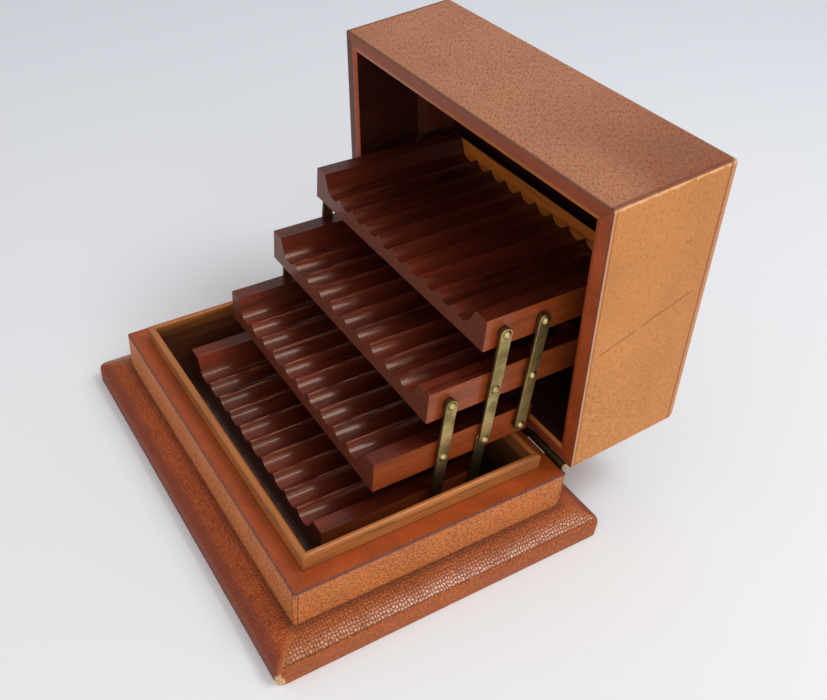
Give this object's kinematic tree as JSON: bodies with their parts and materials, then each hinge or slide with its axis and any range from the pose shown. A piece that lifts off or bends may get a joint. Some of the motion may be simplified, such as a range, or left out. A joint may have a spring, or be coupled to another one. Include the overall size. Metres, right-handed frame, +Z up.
{
  "type": "cigarette case",
  "caption": "Leather-covered table case on a sloping foot, with a deep hinged lid and grooved wooden trays that brass links raise in steps as the lid opens.",
  "frame": {"origin": "middle of the underside of the foot", "axes": "+X to the right along the front, +Y to the hinged back, +Z up"},
  "size_m": [0.184, 0.1846, 0.154],
  "materials": {
    "grained_leather": "grained, waxed",
    "smooth_leather": "smooth, waxed",
    "liner_wood": "varnished",
    "tray_wood": "polished mahogany",
    "strip_wood": "varnished",
    "block_wood": "plain",
    "case_wood": "stained",
    "brass": "aged",
    "felt": "felt"
  },
  "bodies": {
    "base": {"plinth_board": "case_wood", "plinth_leather": "grained_leather", "base_felt": "felt", "base_carcass": "case_wood", "base_leather": "grained_leather", "base_rim_band": "smooth_leather", "base_floor": "case_wood", "liner_front": "liner_wood", "liner_back": "liner_wood", "liner_left": "liner_wood", "liner_right": "liner_wood", "tray_1": "tray_wood", "tray_1_strip": "strip_wood", "tray_1_pivots": "brass", "hinge_leaves_base": "brass", "hinge_pins": "brass", "hinge_screws_base": "brass"},
    "lid": {"lid_walls": "case_wood", "lid_top_board": "case_wood", "lid_leather": "grained_leather", "lid_rim_band": "smooth_leather", "lid_lining": "case_wood", "lid_side_block_left": "block_wood", "lid_side_block_right": "block_wood", "slot_plate_left": "brass", "slot_plate_right": "brass", "slot_plate_screws": "brass", "hinge_leaves_lid": "brass", "hinge_screws_lid": "brass"},
    "links_a": {"link_a_left": "brass", "link_a_right": "brass"},
    "links_b": {"link_b_left": "brass", "link_b_right": "brass"},
    "links_c": {"link_c_left": "brass", "link_c_right": "brass"},
    "links_d": {"link_d_left": "brass", "link_d_right": "brass"},
    "tray_2": {"tray_2": "tray_wood", "tray_2_strip": "strip_wood", "tray_2_pivots": "brass"},
    "tray_3": {"tray_3": "tray_wood", "tray_3_strip": "strip_wood", "tray_3_pivots": "brass"},
    "tray_4": {"tray_4": "tray_wood", "tray_4_strip": "strip_wood", "tray_4_pivots": "brass", "tray_4_studs": "brass"}
  },
  "joints": [
    {"name": "lid_hinge", "type": "hinge", "parent": "base", "child": "lid", "pos_m": [0, 0.06085, 0.03], "axis": [1, 0, 0], "range_deg": [0, 85]},
    {"name": "links_a_pivot", "type": "hinge", "parent": "base", "child": "links_a", "pos_m": [0, 0.0117, 0.0206], "axis": [1, 0, 0], "range_deg": [0, 55.7]},
    {"name": "tray_2_pivot", "type": "hinge", "parent": "links_a", "child": "tray_2", "pos_m": [0, 0.0127, 0.0455], "axis": [1, 0, 0], "range_deg": [-55.7, 0]},
    {"name": "tray_3_pivot", "type": "hinge", "parent": "links_a", "child": "tray_3", "pos_m": [0, 0.0137, 0.0704], "axis": [1, 0, 0], "range_deg": [-55.7, 0]},
    {"name": "links_b_pivot", "type": "hinge", "parent": "tray_2", "child": "links_b", "pos_m": [0, 0.0315, 0.0455], "axis": [1, 0, 0], "range_deg": [0, 55.7]},
    {"name": "tray_4_pivot", "type": "hinge", "parent": "links_b", "child": "tray_4", "pos_m": [0, 0.0335, 0.09531], "axis": [1, 0, 0], "range_deg": [-55.7, 0]},
    {"name": "links_c_pivot", "type": "hinge", "parent": "tray_2", "child": "links_c", "pos_m": [0, 0.0483, 0.0455], "axis": [1, 0, 0], "range_deg": [0, 55.7]},
    {"name": "links_d_pivot", "type": "hinge", "parent": "base", "child": "links_d", "pos_m": [0, 0.0305, 0.0206], "axis": [1, 0, 0], "range_deg": [0, 55.7]}
  ],
  "couplings": [
    {"joint": "links_a_pivot", "follows": "lid_hinge", "ratio": 0.65493},
    {"joint": "tray_2_pivot", "follows": "lid_hinge", "ratio": -0.65493},
    {"joint": "tray_3_pivot", "follows": "lid_hinge", "ratio": -0.65493},
    {"joint": "links_b_pivot", "follows": "lid_hinge", "ratio": 0.65493},
    {"joint": "tray_4_pivot", "follows": "lid_hinge", "ratio": -0.65493},
    {"joint": "links_c_pivot", "follows": "lid_hinge", "ratio": 0.65493},
    {"joint": "links_d_pivot", "follows": "lid_hinge", "ratio": 0.65493}
  ]
}
